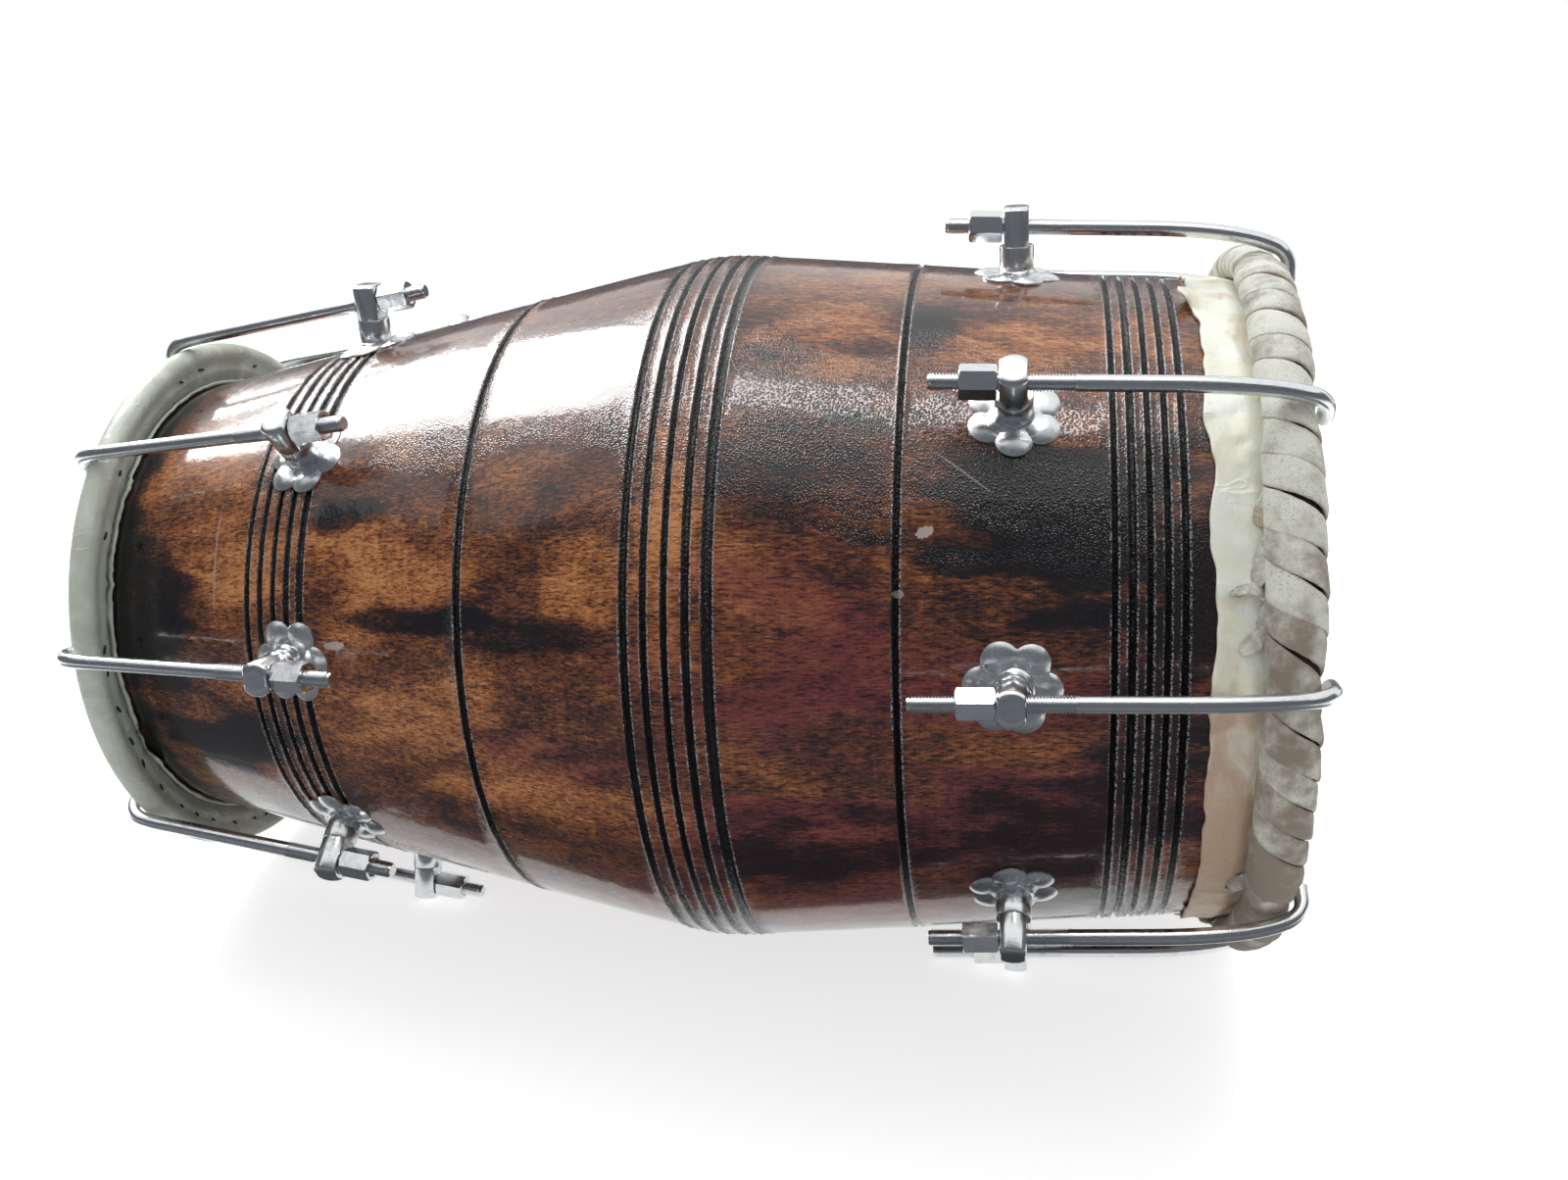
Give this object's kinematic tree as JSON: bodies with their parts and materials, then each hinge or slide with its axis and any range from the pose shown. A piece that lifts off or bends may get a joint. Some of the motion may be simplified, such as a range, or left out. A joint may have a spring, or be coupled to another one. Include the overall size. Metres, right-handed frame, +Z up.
{
  "type": "dholak",
  "caption": "Two-headed wooden barrel drum with hide heads, a plaited bass rim and chromed tension hooks, nuts and lugs.",
  "frame": {"origin": "under the middle of the drum's bounding box, on the surface that it lies on", "axes": "+Z up; +X along the drum to the bass head, which lies a few degrees higher; -Y is the side that the picture shows"},
  "size_m": [0.4686, 0.3052, 0.3004],
  "materials": {
    "shell_wood": "dark red-brown stain under gloss varnish",
    "hide": "cream goat skin, translucent, satin",
    "rawhide": "grey-cream rawhide strips, matt",
    "iron": "black iron rod",
    "chrome": "bright nickel-chrome plate"
  },
  "bodies": {
    "root": {"shell": "shell_wood", "bass_hide": "hide", "bass_ring": "iron", "bass_plait": "rawhide", "treble_hide": "hide", "treble_ring": "iron", "bass_lug_1": "chrome", "bass_lug_2": "chrome", "bass_lug_3": "chrome", "bass_lug_4": "chrome", "bass_lug_5": "chrome", "bass_lug_6": "chrome", "bass_lug_7": "chrome", "bass_lug_8": "chrome", "bass_lug_9": "chrome", "treble_lug_1": "chrome", "treble_lug_2": "chrome", "treble_lug_3": "chrome", "treble_lug_4": "chrome", "treble_lug_5": "chrome", "treble_lug_6": "chrome", "treble_lug_7": "chrome", "treble_lug_8": "chrome", "treble_lug_9": "chrome"},
    "bass_nut_1": {"bass_nut_1": "chrome"},
    "bass_hook_1": {"bass_hook_1": "chrome"},
    "bass_nut_2": {"bass_nut_2": "chrome"},
    "bass_hook_2": {"bass_hook_2": "chrome"},
    "bass_nut_3": {"bass_nut_3": "chrome"},
    "bass_hook_3": {"bass_hook_3": "chrome"},
    "bass_nut_4": {"bass_nut_4": "chrome"},
    "bass_hook_4": {"bass_hook_4": "chrome"},
    "bass_nut_5": {"bass_nut_5": "chrome"},
    "bass_hook_5": {"bass_hook_5": "chrome"},
    "bass_nut_6": {"bass_nut_6": "chrome"},
    "bass_hook_6": {"bass_hook_6": "chrome"},
    "bass_nut_7": {"bass_nut_7": "chrome"},
    "bass_hook_7": {"bass_hook_7": "chrome"},
    "bass_nut_8": {"bass_nut_8": "chrome"},
    "bass_hook_8": {"bass_hook_8": "chrome"},
    "bass_nut_9": {"bass_nut_9": "chrome"},
    "bass_hook_9": {"bass_hook_9": "chrome"},
    "treble_nut_1": {"treble_nut_1": "chrome"},
    "treble_hook_1": {"treble_hook_1": "chrome"},
    "treble_nut_2": {"treble_nut_2": "chrome"},
    "treble_hook_2": {"treble_hook_2": "chrome"},
    "treble_nut_3": {"treble_nut_3": "chrome"},
    "treble_hook_3": {"treble_hook_3": "chrome"},
    "treble_nut_4": {"treble_nut_4": "chrome"},
    "treble_hook_4": {"treble_hook_4": "chrome"},
    "treble_nut_5": {"treble_nut_5": "chrome"},
    "treble_hook_5": {"treble_hook_5": "chrome"},
    "treble_nut_6": {"treble_nut_6": "chrome"},
    "treble_hook_6": {"treble_hook_6": "chrome"},
    "treble_nut_7": {"treble_nut_7": "chrome"},
    "treble_hook_7": {"treble_hook_7": "chrome"},
    "treble_nut_8": {"treble_nut_8": "chrome"},
    "treble_hook_8": {"treble_hook_8": "chrome"},
    "treble_nut_9": {"treble_nut_9": "chrome"},
    "treble_hook_9": {"treble_hook_9": "chrome"}
  },
  "joints": [
    {"name": "bass_nut_1_turn", "type": "hinge", "parent": "root", "child": "bass_nut_1", "pos_m": [0.1126, 0, 0.29261], "axis": [-0.9999, 0, -0.0126], "range_deg": [0, 3610]},
    {"name": "bass_hook_1_slide", "type": "slide", "parent": "root", "child": "bass_hook_1", "axis": [0.9999, 0, 0.0126], "range_m": [0, 0.01]},
    {"name": "bass_nut_2_turn", "type": "hinge", "parent": "root", "child": "bass_nut_2", "pos_m": [0.11492, -0.09447, 0.2583], "axis": [-0.9991, -0.0352, -0.0253], "range_deg": [0, 3610]},
    {"name": "bass_hook_2_slide", "type": "slide", "parent": "root", "child": "bass_hook_2", "axis": [0.9991, 0.0352, 0.0253], "range_m": [0, 0.01]},
    {"name": "bass_nut_3_turn", "type": "hinge", "parent": "root", "child": "bass_nut_3", "pos_m": [0.12077, -0.14474, 0.17143], "axis": [-0.9969, -0.0539, -0.0577], "range_deg": [0, 3610]},
    {"name": "bass_hook_3_slide", "type": "slide", "parent": "root", "child": "bass_hook_3", "axis": [0.9969, 0.0539, 0.0577], "range_m": [0, 0.01]},
    {"name": "bass_nut_4_turn", "type": "hinge", "parent": "root", "child": "bass_nut_4", "pos_m": [0.12744, -0.12728, 0.07265], "axis": [-0.9944, -0.0474, -0.0945], "range_deg": [0, 3610]},
    {"name": "bass_hook_4_slide", "type": "slide", "parent": "root", "child": "bass_hook_4", "axis": [0.9944, 0.0474, 0.0945], "range_m": [0, 0.01]},
    {"name": "bass_nut_5_turn", "type": "hinge", "parent": "root", "child": "bass_nut_5", "pos_m": [0.13179, -0.05027, 0.00817], "axis": [-0.9928, -0.0187, -0.1186], "range_deg": [0, 3610]},
    {"name": "bass_hook_5_slide", "type": "slide", "parent": "root", "child": "bass_hook_5", "axis": [0.9928, 0.0187, 0.1186], "range_m": [0, 0.01]},
    {"name": "bass_nut_6_turn", "type": "hinge", "parent": "root", "child": "bass_nut_6", "pos_m": [0.13179, 0.05027, 0.00817], "axis": [-0.9928, 0.0187, -0.1186], "range_deg": [0, 3610]},
    {"name": "bass_hook_6_slide", "type": "slide", "parent": "root", "child": "bass_hook_6", "axis": [0.9928, -0.0187, 0.1186], "range_m": [0, 0.01]},
    {"name": "bass_nut_7_turn", "type": "hinge", "parent": "root", "child": "bass_nut_7", "pos_m": [0.12744, 0.12728, 0.07265], "axis": [-0.9944, 0.0474, -0.0945], "range_deg": [0, 3610]},
    {"name": "bass_hook_7_slide", "type": "slide", "parent": "root", "child": "bass_hook_7", "axis": [0.9944, -0.0474, 0.0945], "range_m": [0, 0.01]},
    {"name": "bass_nut_8_turn", "type": "hinge", "parent": "root", "child": "bass_nut_8", "pos_m": [0.12077, 0.14474, 0.17143], "axis": [-0.9969, 0.0539, -0.0577], "range_deg": [0, 3610]},
    {"name": "bass_hook_8_slide", "type": "slide", "parent": "root", "child": "bass_hook_8", "axis": [0.9969, -0.0539, 0.0577], "range_m": [0, 0.01]},
    {"name": "bass_nut_9_turn", "type": "hinge", "parent": "root", "child": "bass_nut_9", "pos_m": [0.11492, 0.09447, 0.2583], "axis": [-0.9991, 0.0352, -0.0253], "range_deg": [0, 3610]},
    {"name": "bass_hook_9_slide", "type": "slide", "parent": "root", "child": "bass_hook_9", "axis": [0.9991, -0.0352, 0.0253], "range_m": [0, 0.01]},
    {"name": "treble_nut_1_turn", "type": "hinge", "parent": "root", "child": "treble_nut_1", "pos_m": [-0.13328, 0, 0.25801], "axis": [0.9763, 0, 0.2165], "range_deg": [0, 3610]},
    {"name": "treble_hook_1_slide", "type": "slide", "parent": "root", "child": "treble_hook_1", "axis": [-0.9763, 0, -0.2165], "range_m": [0, 0.01]},
    {"name": "treble_nut_2_turn", "type": "hinge", "parent": "root", "child": "treble_nut_2", "pos_m": [-0.13125, -0.08292, 0.2279], "axis": [0.9786, -0.0966, 0.1814], "range_deg": [0, 3610]},
    {"name": "treble_hook_2_slide", "type": "slide", "parent": "root", "child": "treble_hook_2", "axis": [-0.9786, 0.0966, -0.1814], "range_m": [0, 0.01]},
    {"name": "treble_nut_3_turn", "type": "hinge", "parent": "root", "child": "treble_nut_3", "pos_m": [-0.12611, -0.12704, 0.15165], "axis": [0.9846, -0.148, 0.0926], "range_deg": [0, 3610]},
    {"name": "treble_hook_3_slide", "type": "slide", "parent": "root", "child": "treble_hook_3", "axis": [-0.9846, 0.148, -0.0926], "range_m": [0, 0.01]},
    {"name": "treble_nut_4_turn", "type": "hinge", "parent": "root", "child": "treble_nut_4", "pos_m": [-0.12026, -0.11172, 0.06495], "axis": [0.9915, -0.1302, -0.0084], "range_deg": [0, 3610]},
    {"name": "treble_hook_4_slide", "type": "slide", "parent": "root", "child": "treble_hook_4", "axis": [-0.9915, 0.1302, 0.0084], "range_m": [0, 0.01]},
    {"name": "treble_nut_5_turn", "type": "hinge", "parent": "root", "child": "treble_nut_5", "pos_m": [-0.11644, -0.04412, 0.00835], "axis": [0.9959, -0.0514, -0.0744], "range_deg": [0, 3610]},
    {"name": "treble_hook_5_slide", "type": "slide", "parent": "root", "child": "treble_hook_5", "axis": [-0.9959, 0.0514, 0.0744], "range_m": [0, 0.01]},
    {"name": "treble_nut_6_turn", "type": "hinge", "parent": "root", "child": "treble_nut_6", "pos_m": [-0.11644, 0.04412, 0.00835], "axis": [0.9959, 0.0514, -0.0744], "range_deg": [0, 3610]},
    {"name": "treble_hook_6_slide", "type": "slide", "parent": "root", "child": "treble_hook_6", "axis": [-0.9959, -0.0514, 0.0744], "range_m": [0, 0.01]},
    {"name": "treble_nut_7_turn", "type": "hinge", "parent": "root", "child": "treble_nut_7", "pos_m": [-0.12026, 0.11172, 0.06495], "axis": [0.9915, 0.1302, -0.0084], "range_deg": [0, 3610]},
    {"name": "treble_hook_7_slide", "type": "slide", "parent": "root", "child": "treble_hook_7", "axis": [-0.9915, -0.1302, 0.0084], "range_m": [0, 0.01]},
    {"name": "treble_nut_8_turn", "type": "hinge", "parent": "root", "child": "treble_nut_8", "pos_m": [-0.12611, 0.12704, 0.15165], "axis": [0.9846, 0.148, 0.0926], "range_deg": [0, 3610]},
    {"name": "treble_hook_8_slide", "type": "slide", "parent": "root", "child": "treble_hook_8", "axis": [-0.9846, -0.148, -0.0926], "range_m": [0, 0.01]},
    {"name": "treble_nut_9_turn", "type": "hinge", "parent": "root", "child": "treble_nut_9", "pos_m": [-0.13125, 0.08292, 0.2279], "axis": [0.9786, 0.0966, 0.1814], "range_deg": [0, 3610]},
    {"name": "treble_hook_9_slide", "type": "slide", "parent": "root", "child": "treble_hook_9", "axis": [-0.9786, -0.0966, -0.1814], "range_m": [0, 0.01]}
  ],
  "couplings": [
    {"joint": "bass_nut_1_turn", "follows": "bass_hook_1_slide", "rad_per_m": 6283.2},
    {"joint": "bass_nut_2_turn", "follows": "bass_hook_2_slide", "rad_per_m": 6283.2},
    {"joint": "bass_nut_3_turn", "follows": "bass_hook_3_slide", "rad_per_m": 6283.2},
    {"joint": "bass_nut_4_turn", "follows": "bass_hook_4_slide", "rad_per_m": 6283.2},
    {"joint": "bass_nut_5_turn", "follows": "bass_hook_5_slide", "rad_per_m": 6283.2},
    {"joint": "bass_nut_6_turn", "follows": "bass_hook_6_slide", "rad_per_m": 6283.2},
    {"joint": "bass_nut_7_turn", "follows": "bass_hook_7_slide", "rad_per_m": 6283.2},
    {"joint": "bass_nut_8_turn", "follows": "bass_hook_8_slide", "rad_per_m": 6283.2},
    {"joint": "bass_nut_9_turn", "follows": "bass_hook_9_slide", "rad_per_m": 6283.2},
    {"joint": "treble_nut_1_turn", "follows": "treble_hook_1_slide", "rad_per_m": 6283.2},
    {"joint": "treble_nut_2_turn", "follows": "treble_hook_2_slide", "rad_per_m": 6283.2},
    {"joint": "treble_nut_3_turn", "follows": "treble_hook_3_slide", "rad_per_m": 6283.2},
    {"joint": "treble_nut_4_turn", "follows": "treble_hook_4_slide", "rad_per_m": 6283.2},
    {"joint": "treble_nut_5_turn", "follows": "treble_hook_5_slide", "rad_per_m": 6283.2},
    {"joint": "treble_nut_6_turn", "follows": "treble_hook_6_slide", "rad_per_m": 6283.2},
    {"joint": "treble_nut_7_turn", "follows": "treble_hook_7_slide", "rad_per_m": 6283.2},
    {"joint": "treble_nut_8_turn", "follows": "treble_hook_8_slide", "rad_per_m": 6283.2},
    {"joint": "treble_nut_9_turn", "follows": "treble_hook_9_slide", "rad_per_m": 6283.2}
  ]
}
